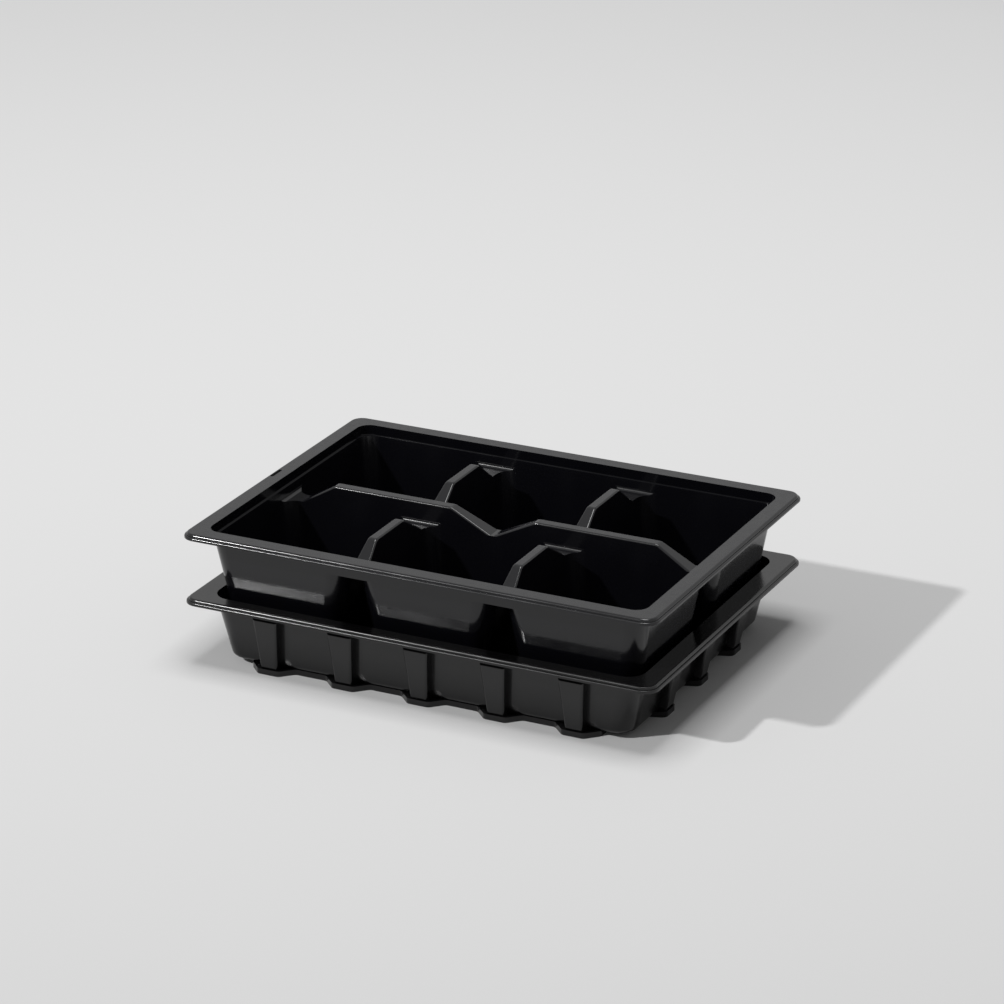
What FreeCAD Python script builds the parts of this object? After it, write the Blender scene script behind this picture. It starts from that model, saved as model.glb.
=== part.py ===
"""Two-piece formed tray set: a six-cell carry insert standing loose in a ribbed drip tray.

Units are millimetres. Origin: centre of the footprint, on the ground. +X along the long side, +Z up.
"""
import math
import os

import FreeCAD
import Part

# ---- shared sizes
SHEET = 1.0                  # wall of both formed sheets
RIM_LENGTH = 314.0           # outside of both rims
RIM_WIDTH = 226.7
RIM_TOP = 86.0               # insert rim above the ground
EPS = 2.0                    # how far a cutting tool runs past what it cuts

# ---- rim section, from the outer edge inwards
LIP_REACH = 1.4              # the low outer lip stands out this far past the roll
LIP_TOP = 1.7                # lip below the rim top
LIP_ROUND = 1.0
ROLL_ROUND = 1.6
OUTER_CORNER = 9.5

# ---- insert
INSERT_SKIRT = 3.5           # rim top to the bottom of the rolled edge
MOUTH_LENGTH = 290.0         # basin at the rim top
MOUTH_WIDTH = 202.7
MOUTH_CORNER = 8.5
MOUTH_ROUND = 1.2
LEDGE_DROP = 6.4
LEDGE_INSET = 1.2
COLLAR_DRAFT = 4.0           # degrees, above the ledge
CELL_DRAFT = 8.5             # degrees, below the ledge
SADDLE_DROP = 13.5           # rim top to the low flats between cells
CREST_DROP = 0.5             # rim top to the humps
DIVIDER_X = 48.5             # column lines
LONG_CREST = 7.0             # crest width of the lengthwise divider
CROSS_CREST = 6.0
CREST_ROUND = 1.2
CELL_ROUND = 10.5            # standing corners and foot of a cell
INSERT_FOOT = 4.5            # underside of the cells above the ground
COVE = 2.0                   # fillet where a saddle meets a wall
LONG_HUMP = (1.0, 28.5, 109.5, 131.7)   # inner foot, flat crest and outer foot, from mid length
CROSS_HUMP = (13.0, 34.0, 68.5, 84.8)   # the same of each cross hump, from mid width
HUMP_BEND = 5.0              # radius where a slope meets a crest
SLOT_LENGTH = 12.5
SLOT_WIDTH = 2.3
SLOT_X = -152.8
SLOT_CORNER = 1.0

# ---- drip tray
TRAY_TOP = 43.5
TRAY_SKIRT = 3.6
TRAY_FLOOR = 3.5             # underside of the floor above the ground
TRAY_END_DRAFT = 12.0        # degrees
TRAY_SIDE_DRAFT = 7.0        # degrees
TRAY_FOOT_LENGTH = 270.4     # outside, at the floor
TRAY_FOOT_WIDTH = 197.2
TRAY_CORNER = 13.0
TRAY_FOOT_ROUND = 3.5
TRAY_MOUTH_ROUND = 1.2
PAD_LENGTH = 234.0
PAD_WIDTH = 195.0
PAD_CORNER = 4.0
LOBE_REACH = 0.8             # pad lobe past the face of its rib
LOBE_HALF = 7.0              # half width of a lobe at its end
LOBE_FLARE = 8.0             # and how far each side runs out to the pad's edge
RIB_TOP = 40.0
RIB_TOP_WIDTH = 17.0
RIB_FOOT_WIDTH = 11.0
SIDE_RIB_DEPTH = 6.0
END_RIB_DEPTH = 4.5
SIDE_RIBS = [-102.0, -51.0, 0.0, 51.0, 102.0]
END_RIBS = [-50.0, 0.0, 50.0]
RIB_ROUND = 1.6              # outer corners of a rib, and its foot
RIB_TOP_SLOPE = 4.0          # cut back of a rib's top end
RIB_FLARE = 2.0              # each side of a rib opens out by this much at its root
RIB_ROOT = 20.0

SADDLE_Z = RIM_TOP - SADDLE_DROP
CREST_Z = RIM_TOP - CREST_DROP
LEDGE_Z = RIM_TOP - LEDGE_DROP
CELL_SLOPE = math.tan(math.radians(CELL_DRAFT))


def rectangle(half_x, half_y, z, centre):
    """Corner points of a level rectangle, anticlockwise."""
    cx, cy = centre
    signs = ((-1, -1), (1, -1), (1, 1), (-1, 1))
    return [FreeCAD.Vector(cx + sx * half_x, cy + sy * half_y, z) for sx, sy in signs]


def flat_sided(lower, upper):
    """Solid between two level polygons whose matching sides lie in common planes."""
    rings = [lower[::-1], upper]
    for k in range(len(lower)):
        j = (k + 1) % len(lower)
        rings.append([lower[k], lower[j], upper[j], upper[k]])
    skin = Part.Compound([Part.Face(Part.makePolygon(ring + [ring[0]])) for ring in rings])
    skin.sewShape()
    solid = Part.Solid(skin.Shells[0])
    if solid.Volume < 0:
        solid.reverse()
    return solid


def block(low, high, low_centre=(0.0, 0.0), high_centre=None):
    """Flat-sided solid between two level rectangles, each given as (half_x, half_y, z)."""
    return flat_sided(rectangle(*low, low_centre), rectangle(*high, high_centre or low_centre))


def standing_edges(shape):
    """Edges that rise from the bottom to the top of a block."""
    tall = shape.BoundBox.ZLength - 1e-3
    return [e for e in shape.Edges if e.BoundBox.ZLength > tall]


def level_edges(shape, z):
    """Edges lying wholly in the plane at height z."""
    return [e for e in shape.Edges if abs(e.BoundBox.ZMin - z) < 1e-4 and abs(e.BoundBox.ZMax - z) < 1e-4]


def tub(low, high, radius, low_centre=(0.0, 0.0), high_centre=None, foot=None):
    """A block with rounded standing edges, and a rounded foot if its radius is given."""
    body = block(low, high, low_centre, high_centre)
    if foot == radius:
        return body.makeFillet(radius, standing_edges(body) + level_edges(body, low[2]))
    body = body.makeFillet(radius, standing_edges(body))
    if foot:
        body = body.makeFillet(foot, level_edges(body, low[2]))
    return body


def prism(half_x, half_y, radius, z_low, z_high):
    return tub((half_x, half_y, z_low), (half_x, half_y, z_high), radius)


def profile(points, plane, half_depth):
    """Extrude a polygon given in the XZ or YZ plane both ways across it."""
    if plane == "XZ":
        corners = [FreeCAD.Vector(a, -half_depth, b) for a, b in points]
        sweep = FreeCAD.Vector(0, 2 * half_depth, 0)
    else:
        corners = [FreeCAD.Vector(-half_depth, a, b) for a, b in points]
        sweep = FreeCAD.Vector(2 * half_depth, 0, 0)
    wire = Part.makePolygon(corners + [corners[0]])
    return Part.Face(wire).extrude(sweep)


def rim(top, skirt, shrink):
    """Rolled rim as a filled block; shrink takes the same block in by a sheet for the void under it."""
    half_x = RIM_LENGTH / 2 - shrink
    half_y = RIM_WIDTH / 2 - shrink
    low = top - skirt - (EPS if shrink else 0.0)
    steps = []
    for inset, drop, edge_round in ((LIP_REACH, 0.0, ROLL_ROUND), (0.0, LIP_TOP, LIP_ROUND)):
        high = top - drop - shrink
        step = prism(half_x - inset, half_y - inset, OUTER_CORNER - inset - shrink, low, high)
        steps.append(step if shrink else step.makeFillet(edge_round, level_edges(step, high)))
    return steps[0].fuse(steps[1])


# ---- insert

def basin_half(z):
    """Half sizes of the basin below its ledge, at height z."""
    collar = LEDGE_DROP * math.tan(math.radians(COLLAR_DRAFT)) + LEDGE_INSET
    inset = collar + (LEDGE_Z - z) * CELL_SLOPE
    return MOUTH_LENGTH / 2 - inset, MOUTH_WIDTH / 2 - inset


def divider_half(crest, z):
    """Half width of a divider at height z."""
    return crest / 2 + (CREST_Z - z) * CELL_SLOPE


def collar(grow):
    """The basin's upper band, from the ledge to past the rim top."""
    slope = math.tan(math.radians(COLLAR_DRAFT))
    low = LEDGE_Z - grow
    high = RIM_TOP - grow / 2 if grow else RIM_TOP + EPS
    sizes = []
    for z in (low, high):
        inset = (RIM_TOP - max(z, LEDGE_Z)) * slope - grow
        sizes.append((MOUTH_LENGTH / 2 - inset, MOUTH_WIDTH / 2 - inset, z))
    return tub(*sizes, MOUTH_CORNER + grow)


def well(grow):
    """The basin's lower band, from the saddles to the ledge."""
    sizes = []
    for z in (SADDLE_Z - grow, LEDGE_Z - grow / 2):
        half_x, half_y = basin_half(z)
        sizes.append((half_x + grow, half_y + grow, z))
    return tub(*sizes, CELL_ROUND + grow)


def cell_section(column, z):
    """(x low, x high, y low, y high) of a cell in the back row, at height z."""
    half_x, half_y = basin_half(z)
    cross = divider_half(CROSS_CREST, z)
    inner = divider_half(LONG_CREST, z)
    if column == 0:
        return -DIVIDER_X + cross, DIVIDER_X - cross, inner, half_y
    return DIVIDER_X + cross, half_x, inner, half_y


def cell(column, row, grow, z_top):
    """One cell's inside, or its outside when grown by a sheet."""
    sizes = []
    centres = []
    for z in (INSERT_FOOT + SHEET - grow, z_top):
        x0, x1, y0, y1 = cell_section(abs(column), z)
        sizes.append(((x1 - x0) / 2 + grow, (y1 - y0) / 2 + grow, z))
        centres.append(((x0 + x1) / 2 * (column or 1), (y0 + y1) / 2 * row))
    radius = CELL_ROUND + grow
    return tub(*sizes, radius, *centres, foot=radius)


CELLS = [(column, row) for row in (-1, 1) for column in (-1, 0, 1)]


def wall_wedge(crest, top, base, shrink, plane, reach):
    """Long drafted wall of a divider, centred on zero."""
    inset = shrink / math.cos(math.radians(CELL_DRAFT))
    top_half = divider_half(crest, top) - inset
    base_half = divider_half(crest, base) - inset
    points = [(-base_half, base), (base_half, base), (top_half, top), (-top_half, top)]
    return profile(points, plane, reach)


def hump_outline(points, shrink):
    """The crest line of a divider, or the line one sheet under it."""
    if not shrink:
        return points
    moved = []
    for k in range(len(points)):
        slopes = []
        if k > 0:
            slopes.append((points[k][1] - points[k - 1][1]) / (points[k][0] - points[k - 1][0]))
        if k < len(points) - 1:
            slopes.append((points[k + 1][1] - points[k][1]) / (points[k + 1][0] - points[k][0]))
        lifts = [shrink * math.sqrt(1 + s * s) for s in slopes]
        x, z = points[k]
        if len(slopes) == 2 and abs(slopes[0] - slopes[1]) > 1e-6:
            shift = (lifts[1] - lifts[0]) / (slopes[1] - slopes[0])
            moved.append((x + shift, z + slopes[0] * shift - lifts[0]))
        else:
            slope = slopes[0]
            fall = (z - lifts[0] - (SADDLE_Z - shrink)) / slope
            moved.append((x - fall, SADDLE_Z - shrink))
    return moved


def hump(stations, width, shrink):
    """Solid ridge along +X whose crest passes the four stations, or the void one sheet inside it."""
    foot_in, crest_in, crest_out, foot_out = stations
    line = [(foot_in, SADDLE_Z), (crest_in, CREST_Z), (crest_out, CREST_Z), (foot_out, SADDLE_Z)]
    solid = profile(hump_outline(line, shrink), "XZ", 2 * width)
    bends = [e for e in solid.Edges if e.BoundBox.YLength > width and e.BoundBox.ZMin > SADDLE_Z + 1.0]
    solid = solid.makeFillet(HUMP_BEND - shrink, bends)
    wedge = wall_wedge(width, CREST_Z + EPS, SADDLE_Z - shrink, shrink, "YZ", foot_out + EPS)
    ridge = solid.common(wedge)
    if shrink:
        return ridge
    rails = [e for e in ridge.Edges if e.BoundBox.XLength > 0.5 and e.BoundBox.ZMax > SADDLE_Z + 0.5]
    return ridge.makeFillet(CREST_ROUND, rails)


def divider_humps(shrink):
    """All raised dividers above the saddles, or the voids under them."""
    spine = hump(LONG_HUMP, LONG_CREST, shrink)
    ridge = hump(CROSS_HUMP, CROSS_CREST, shrink)
    placed = []
    for turn in (0, 180):
        piece = spine.copy()
        piece.rotate(FreeCAD.Vector(0, 0, 0), FreeCAD.Vector(0, 0, 1), turn)
        placed.append(piece)
        for side in (-1, 1):
            piece = ridge.copy()
            piece.rotate(FreeCAD.Vector(0, 0, 0), FreeCAD.Vector(0, 0, 1), turn + 90)
            piece.translate(FreeCAD.Vector(side * DIVIDER_X, 0, 0))
            placed.append(piece)
    return placed


def cove(length):
    """Fillet strip along X in a corner whose wall is at y = 0, growing to +Y and up."""
    bite = 0.6
    corners = [(-bite, -bite), (COVE, -bite), (COVE, 0.0), (0.0, COVE), (-bite, COVE)]
    points = [FreeCAD.Vector(-length / 2, y, z) for y, z in corners]
    mid = COVE * (1 - math.sqrt(0.5))
    arc = Part.Arc(points[2], FreeCAD.Vector(-length / 2, mid, mid), points[3]).toShape()
    edges = [Part.makeLine(points[0], points[1]), Part.makeLine(points[1], points[2]), arc,
             Part.makeLine(points[3], points[4]), Part.makeLine(points[4], points[0])]
    return Part.Face(Part.Wire(edges)).extrude(FreeCAD.Vector(length, 0, 0))


def coves():
    """Fillets where the saddles meet the lengthwise divider and the outer walls."""
    hx, hy = basin_half(SADDLE_Z)
    spine = divider_half(LONG_CREST, SADDLE_Z)
    span = 2 * (divider_half(CROSS_CREST, SADDLE_Z) + CELL_ROUND)
    end_span = 2 * (spine + CELL_ROUND)
    placed = []
    for side in (-1, 1):
        for row in (-1, 1):
            for wall, turn in ((spine, 0 if row > 0 else 180), (hy, 180 if row > 0 else 0)):
                strip = cove(span)
                strip.rotate(FreeCAD.Vector(0, 0, 0), FreeCAD.Vector(0, 0, 1), turn)
                strip.translate(FreeCAD.Vector(side * DIVIDER_X, row * wall, SADDLE_Z))
                placed.append(strip)
        strip = cove(end_span)
        strip.rotate(FreeCAD.Vector(0, 0, 0), FreeCAD.Vector(0, 0, 1), 90 if side > 0 else -90)
        strip.translate(FreeCAD.Vector(side * hx, 0, SADDLE_Z))
        placed.append(strip)
    tools = [cell(column, row, 0.0, SADDLE_Z + COVE + EPS / 2) for column, row in CELLS]
    return [strip.cut(tools) for strip in placed]


def build_insert():
    shell = rim(RIM_TOP, INSERT_SKIRT, 0.0).cut(rim(RIM_TOP, INSERT_SKIRT, SHEET))
    outside = [collar(SHEET), well(SHEET)]
    outside += [cell(column, row, SHEET, SADDLE_Z - SHEET) for column, row in CELLS]
    shell = shell.fuse(outside)
    shell = shell.cut([collar(0.0), well(0.0)])
    shell = shell.cut([cell(column, row, 0.0, SADDLE_Z) for column, row in CELLS])
    shell = shell.fuse(divider_humps(0.0) + coves())
    shell = shell.cut(divider_humps(SHEET))
    slot = prism(SLOT_WIDTH / 2, SLOT_LENGTH / 2, SLOT_CORNER, RIM_TOP - 2 * SHEET, RIM_TOP + EPS)
    slot.translate(FreeCAD.Vector(SLOT_X, 0, 0))
    return shell.cut(slot)


# ---- drip tray

def tray_half(z):
    rise = z - TRAY_FLOOR
    return (TRAY_FOOT_LENGTH / 2 + rise * math.tan(math.radians(TRAY_END_DRAFT)),
            TRAY_FOOT_WIDTH / 2 + rise * math.tan(math.radians(TRAY_SIDE_DRAFT)))


def tray_body(shrink):
    sizes = []
    for z in (TRAY_FLOOR + shrink, TRAY_TOP + EPS if shrink else TRAY_TOP - SHEET / 2):
        half_x, half_y = tray_half(z)
        sizes.append((half_x - shrink, half_y - shrink, z))
    return tub(*sizes, TRAY_CORNER - shrink, foot=TRAY_FOOT_ROUND - shrink)


def rib(depth, wall_half, draft, shrink):
    """One rib on the wall facing -Y, as a drafted block that runs well into the tray."""
    slope = math.tan(math.radians(draft))
    low = TRAY_FLOOR - 1.5 * shrink
    rings = []
    for z, width in ((low, RIB_FOOT_WIDTH), (RIB_TOP - shrink, RIB_TOP_WIDTH)):
        face = wall_half + depth - shrink + (z - TRAY_FLOOR) * slope
        half = width / 2 - shrink
        root = face - depth - RIB_ROOT
        corners = [(-half - RIB_FLARE, -root), (-half, -face), (half, -face), (half + RIB_FLARE, -root)]
        rings.append([FreeCAD.Vector(x, y, z) for x, y in corners])
    body = flat_sided(*rings)
    outer = min(v.y for v in rings[1])
    brow = [e for e in body.Edges if abs(e.BoundBox.YMax - outer) < 1e-3 and e.BoundBox.XLength > 1.0]
    body = body.makeChamfer(RIB_TOP_SLOPE, brow)
    clear = wall_half - RIB_ROOT / 2
    front = [e for e in body.Edges if e.BoundBox.YMax < -clear and e.BoundBox.ZMin < RIB_TOP / 2]
    return body if shrink else body.makeFillet(RIB_ROUND, front)


def ribs(shrink):
    """Every rib of the drip tray, or the voids that make them hollow."""
    side = rib(SIDE_RIB_DEPTH, TRAY_FOOT_WIDTH / 2, TRAY_SIDE_DRAFT, shrink)
    end = rib(END_RIB_DEPTH, TRAY_FOOT_LENGTH / 2, TRAY_END_DRAFT, shrink)
    placed = []
    for source, places, turns in ((side, SIDE_RIBS, (0, 180)), (end, END_RIBS, (90, -90))):
        for turn in turns:
            for along in places:
                piece = source.copy()
                piece.translate(FreeCAD.Vector(along, 0, 0))
                piece.rotate(FreeCAD.Vector(0, 0, 0), FreeCAD.Vector(0, 0, 1), turn)
                placed.append(piece)
    return placed


def pad_outline():
    """Face of the foot pad: a rectangle with a lobe under each rib."""
    points = []
    sides = ((0, PAD_LENGTH, PAD_WIDTH, TRAY_FOOT_WIDTH / 2 + SIDE_RIB_DEPTH, SIDE_RIBS),
             (90, PAD_WIDTH, PAD_LENGTH, TRAY_FOOT_LENGTH / 2 + END_RIB_DEPTH, END_RIBS))
    for turn, along, across, face, places in sides + tuple((t + 180, *rest) for t, *rest in sides):
        reach = face + LOBE_REACH
        line = [(-along / 2, -across / 2)]
        for place in places:
            line.append((place - LOBE_HALF - LOBE_FLARE, -across / 2))
            line.append((place - LOBE_HALF, -reach))
            line.append((place + LOBE_HALF, -reach))
            line.append((place + LOBE_HALF + LOBE_FLARE, -across / 2))
        spin = FreeCAD.Rotation(FreeCAD.Vector(0, 0, 1), turn)
        points += [spin.multVec(FreeCAD.Vector(x, y, 0)) for x, y in line]
    return Part.Face(Part.makePolygon(points + [points[0]]))


def foot_pad(shrink):
    """The lobed pad under the floor, or the void in it."""
    face = pad_outline()
    if shrink:
        face = face.makeOffset2D(-shrink, 2)
        face.translate(FreeCAD.Vector(0, 0, shrink))
    body = face.extrude(FreeCAD.Vector(0, 0, TRAY_FLOOR - 2 * shrink))
    return body if shrink else body.makeFillet(PAD_CORNER, standing_edges(body))


def build_tray():
    shell = rim(TRAY_TOP, TRAY_SKIRT, 0.0).cut(rim(TRAY_TOP, TRAY_SKIRT, SHEET))
    well = prism(PAD_LENGTH / 2 - SHEET, PAD_WIDTH / 2 - SHEET, PAD_CORNER - SHEET, SHEET, TRAY_FLOOR + EPS)
    shell = shell.fuse([tray_body(0.0), foot_pad(0.0)] + ribs(0.0))
    return shell.cut([tray_body(SHEET), foot_pad(SHEET), well] + ribs(SHEET))


def main():
    os.makedirs("parts", exist_ok=True)
    for name, build in (("cell_insert", build_insert), ("drip_tray", build_tray)):
        shape = build()
        box = shape.optimalBoundingBox(False)
        print(name, "solids", len(shape.Solids), "valid", shape.isValid(), "volume", round(shape.Volume / 1000, 2),
              "box", [round(v, 2) for v in (box.XLength, box.YLength, box.ZMin, box.ZMax)])
        shape.exportStep("parts/%s.step" % name)


main()
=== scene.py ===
import math

import bpy
from mathutils import Matrix, Vector


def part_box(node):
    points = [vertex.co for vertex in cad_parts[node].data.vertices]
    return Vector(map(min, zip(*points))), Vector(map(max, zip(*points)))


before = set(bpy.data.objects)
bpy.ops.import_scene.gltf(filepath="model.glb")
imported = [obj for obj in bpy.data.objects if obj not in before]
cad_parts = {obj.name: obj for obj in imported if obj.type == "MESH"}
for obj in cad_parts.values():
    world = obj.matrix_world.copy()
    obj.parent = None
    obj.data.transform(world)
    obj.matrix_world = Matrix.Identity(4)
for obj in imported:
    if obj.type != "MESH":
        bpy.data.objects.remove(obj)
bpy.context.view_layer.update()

# ---- camera
RIM_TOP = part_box("cell_insert")[1][2]
CAMERA_AZIMUTH = math.radians(26.35)
CAMERA_ELEVATION = math.radians(21.66)
CAMERA_ROLL = math.radians(-0.254)
CAMERA_DISTANCE = 2.5355
CAMERA_ASIDE = 0.0040
CAMERA_RAISE = 0.0063
CAMERA_LENS = 149.24
CAMERA_SENSOR = 36.0
CAMERA_REACH = 50.0

# ---- light
LAMP_AT = (-2.46, -3.00, 2.97)
LAMP_SIZE = 0.20
LAMP_WATTS = 150.0
SOFTBOX_HEIGHT = 2.6
SOFTBOX_SIDE = 1.1
SOFTBOX_WATTS = 34.0
AMBIENT = 0.20               # what lights dull surfaces
BACKDROP = 0.66              # what the camera and reflections see
FLOOR_SIDE = 14.0
FLOOR_PAINTED_SHADE_NEAR = 0.47            # painted shade and light: the floor's colour changes along Y, darker at -FLOOR_SPAN towards the lamp and lighter at FLOOR_SPAN, evening out the lamp's falloff
FLOOR_PAINTED_LIGHT_FAR = 0.93
FLOOR_SPAN = 1.5

# ---- plastic
REFRACTION = 1.49
INSERT_COLOR = (0.0028, 0.0028, 0.0040, 1.0)
INSERT_WALL_ROUGH = 0.15
INSERT_RIM_ROUGH = 0.28
TRAY_COLOR = (0.0032, 0.0031, 0.0034, 1.0)
TRAY_WALL_ROUGH = 0.20
TRAY_RIM_ROUGH = 0.17

RIM_DEPTH = 0.005            # the rim's finish starts this far below its top
RIM_FADE = 0.0008
LEVEL_FROM = 0.95            # a face counts as level between these values of its normal's Z
LEVEL_FULL = 0.995
WALL_PATCH_SCALE = 35.0
WALL_PATCH_ROUGH = 0.03
RIM_PATCH_SCALE = 260.0
RIM_PATCH_ROUGH = 0.05
WAVE_SCALE = 28.0
WAVE_DEPTH = 0.0006
WAVE_STRENGTH = 0.25
GRAIN_SCALE = 1600.0
GRAIN_DEPTH = 0.00008
GRAIN_ON_WALLS = 0.05
GRAIN_ON_RIM = 0.40
NOISE_LOW = 0.3              # noise mostly stays between these values
NOISE_HIGH = 0.7


def node_tree(material):
    material.use_nodes = True
    tree = material.node_tree
    tree.nodes.clear()
    output = tree.nodes.new("ShaderNodeOutputMaterial")
    return tree, output


def noise(tree, vector, scale, detail=3.0):
    texture = tree.nodes.new("ShaderNodeTexNoise")
    texture.inputs["Scale"].default_value = scale
    texture.inputs["Detail"].default_value = detail
    tree.links.new(vector, texture.inputs["Vector"])
    return texture.outputs["Fac"]


def spread(tree, value, low, high, from_low=NOISE_LOW, from_high=NOISE_HIGH):
    """Value mapped from one range to another, held at both ends."""
    node = tree.nodes.new("ShaderNodeMapRange")
    node.inputs["From Min"].default_value = from_low
    node.inputs["From Max"].default_value = from_high
    node.inputs["To Min"].default_value = low
    node.inputs["To Max"].default_value = high
    tree.links.new(value, node.inputs["Value"])
    return node.outputs["Result"]


def component(tree, vector, axis):
    split = tree.nodes.new("ShaderNodeSeparateXYZ")
    tree.links.new(vector, split.inputs["Vector"])
    return split.outputs[axis]


def rough_patches(tree, place, scale, middle, reach):
    return spread(tree, noise(tree, place, scale), middle - reach, middle + reach)


def rim_mask(tree, place, rim_top):
    """One on level faces at the rim's height, zero elsewhere."""
    normal = tree.nodes.new("ShaderNodeNewGeometry").outputs["Normal"]
    rim_low = rim_top - RIM_DEPTH
    level = spread(tree, component(tree, normal, "Z"), 0.0, 1.0, LEVEL_FROM, LEVEL_FULL)
    high = spread(tree, component(tree, place, "Z"), 0.0, 1.0, rim_low, rim_low + RIM_FADE)
    both = tree.nodes.new("ShaderNodeMath")
    both.operation = "MULTIPLY"
    tree.links.new(level, both.inputs[0])
    tree.links.new(high, both.inputs[1])
    return both.outputs["Value"]


def black_sheet(name, color, rim_top, wall_rough, rim_rough):
    """Formed black plastic: glossy walls with faint draw waves, and a finely grained rim."""
    material = bpy.data.materials.new(name)
    tree, output = node_tree(material)
    links = tree.links
    shader = tree.nodes.new("ShaderNodeBsdfPrincipled")
    shader.inputs["Base Color"].default_value = color
    shader.inputs["IOR"].default_value = REFRACTION
    links.new(shader.outputs["BSDF"], output.inputs["Surface"])

    place = tree.nodes.new("ShaderNodeTexCoord").outputs["Object"]
    mask = rim_mask(tree, place, rim_top)
    walls = rough_patches(tree, place, WALL_PATCH_SCALE, wall_rough, WALL_PATCH_ROUGH)
    rims = rough_patches(tree, place, RIM_PATCH_SCALE, rim_rough, RIM_PATCH_ROUGH)
    rough = tree.nodes.new("ShaderNodeMix")
    rough.data_type = "FLOAT"
    links.new(mask, rough.inputs["Factor"])
    links.new(walls, rough.inputs["A"])
    links.new(rims, rough.inputs["B"])
    links.new(rough.outputs["Result"], shader.inputs["Roughness"])

    waves = tree.nodes.new("ShaderNodeBump")
    waves.inputs["Strength"].default_value = WAVE_STRENGTH
    waves.inputs["Distance"].default_value = WAVE_DEPTH
    links.new(noise(tree, place, WAVE_SCALE, 1.0), waves.inputs["Height"])
    grain = tree.nodes.new("ShaderNodeBump")
    grain.inputs["Distance"].default_value = GRAIN_DEPTH
    links.new(noise(tree, place, GRAIN_SCALE, 2.0), grain.inputs["Height"])
    grain_strength = spread(tree, mask, GRAIN_ON_WALLS, GRAIN_ON_RIM, 0.0, 1.0)
    links.new(grain_strength, grain.inputs["Strength"])
    links.new(waves.outputs["Normal"], grain.inputs["Normal"])
    links.new(grain.outputs["Normal"], shader.inputs["Normal"])
    return material


def make_floor():
    mesh = bpy.data.meshes.new("floor")
    half = FLOOR_SIDE / 2
    corners = [(-half, -half, 0.0), (half, -half, 0.0), (half, half, 0.0), (-half, half, 0.0)]
    mesh.from_pydata(corners, [], [(0, 1, 2, 3)])
    floor = bpy.data.objects.new("floor", mesh)
    bpy.context.scene.collection.objects.link(floor)
    material = bpy.data.materials.new("floor_paper_painted_shade")
    tree, output = node_tree(material)
    shader = tree.nodes.new("ShaderNodeBsdfDiffuse")
    along = component(tree, tree.nodes.new("ShaderNodeTexCoord").outputs["Object"], "Y")
    # painted shade: the floor colour is darker towards the lamp and lighter away from it, to
    # even out the lamp's falloff
    painted_floor_shade = spread(tree, along, FLOOR_PAINTED_SHADE_NEAR, FLOOR_PAINTED_LIGHT_FAR, -FLOOR_SPAN, FLOOR_SPAN)
    tree.links.new(painted_floor_shade, shader.inputs["Color"])
    tree.links.new(shader.outputs["BSDF"], output.inputs["Surface"])
    mesh.materials.append(material)


def make_world():
    """Even surroundings, brighter to the camera and in reflections than as a light."""
    world = bpy.data.worlds.new("studio")
    bpy.context.scene.world = world
    world.use_nodes = True
    tree = world.node_tree
    tree.nodes.clear()
    output = tree.nodes.new("ShaderNodeOutputWorld")
    background = tree.nodes.new("ShaderNodeBackground")
    background.inputs["Color"].default_value = (1.0, 1.0, 1.0, 1.0)
    path = tree.nodes.new("ShaderNodeLightPath")
    seen = tree.nodes.new("ShaderNodeMath")
    seen.operation = "MAXIMUM"
    tree.links.new(path.outputs["Is Camera Ray"], seen.inputs[0])
    tree.links.new(path.outputs["Is Glossy Ray"], seen.inputs[1])
    strength = spread(tree, seen.outputs["Value"], AMBIENT, BACKDROP, 0.0, 1.0)
    tree.links.new(strength, background.inputs["Strength"])
    tree.links.new(background.outputs["Background"], output.inputs["Surface"])


def make_light(name, shape, size, watts, place):
    """Area light aimed at the middle of the object."""
    data = bpy.data.lights.new(name, "AREA")
    data.shape = shape
    data.size = size
    data.energy = watts
    light = bpy.data.objects.new(name, data)
    light.location = place
    aim = Vector((0.0, 0.0, RIM_TOP / 2)) - light.location
    light.rotation_euler = aim.to_track_quat("-Z", "Y").to_euler()
    bpy.context.scene.collection.objects.link(light)


def make_camera():
    back = Vector((math.sin(CAMERA_AZIMUTH) * math.cos(CAMERA_ELEVATION),
                   -math.cos(CAMERA_AZIMUTH) * math.cos(CAMERA_ELEVATION),
                   math.sin(CAMERA_ELEVATION)))
    level = Vector((0.0, 0.0, 1.0)).cross(back).normalized()
    upright = back.cross(level)
    right = math.cos(CAMERA_ROLL) * level + math.sin(CAMERA_ROLL) * upright
    up = back.cross(right)
    aim = Vector((0.0, 0.0, RIM_TOP))
    at = aim + back * CAMERA_DISTANCE + right * CAMERA_ASIDE + up * CAMERA_RAISE
    turn = Matrix((right, up, back)).transposed().to_4x4()
    data = bpy.data.cameras.new("camera")
    data.sensor_width = CAMERA_SENSOR
    data.lens = CAMERA_LENS
    data.clip_end = CAMERA_REACH
    camera = bpy.data.objects.new("camera", data)
    camera.matrix_world = Matrix.Translation(at) @ turn
    bpy.context.scene.collection.objects.link(camera)
    bpy.context.scene.camera = camera


def dress(name, material):
    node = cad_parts[name]
    node.data.materials.clear()
    node.data.materials.append(material)


def main():
    insert_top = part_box("cell_insert")[1][2]
    tray_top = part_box("drip_tray")[1][2]
    dress("cell_insert", black_sheet("insert_plastic", INSERT_COLOR, insert_top,
                                     INSERT_WALL_ROUGH, INSERT_RIM_ROUGH))
    dress("drip_tray", black_sheet("tray_plastic", TRAY_COLOR, tray_top,
                                   TRAY_WALL_ROUGH, TRAY_RIM_ROUGH))
    make_floor()
    make_world()
    make_light("key", "DISK", LAMP_SIZE, LAMP_WATTS, LAMP_AT)
    make_light("softbox", "SQUARE", SOFTBOX_SIDE, SOFTBOX_WATTS, (0.0, 0.0, SOFTBOX_HEIGHT))
    make_camera()
    bpy.context.scene.view_settings.view_transform = "Standard"


main()
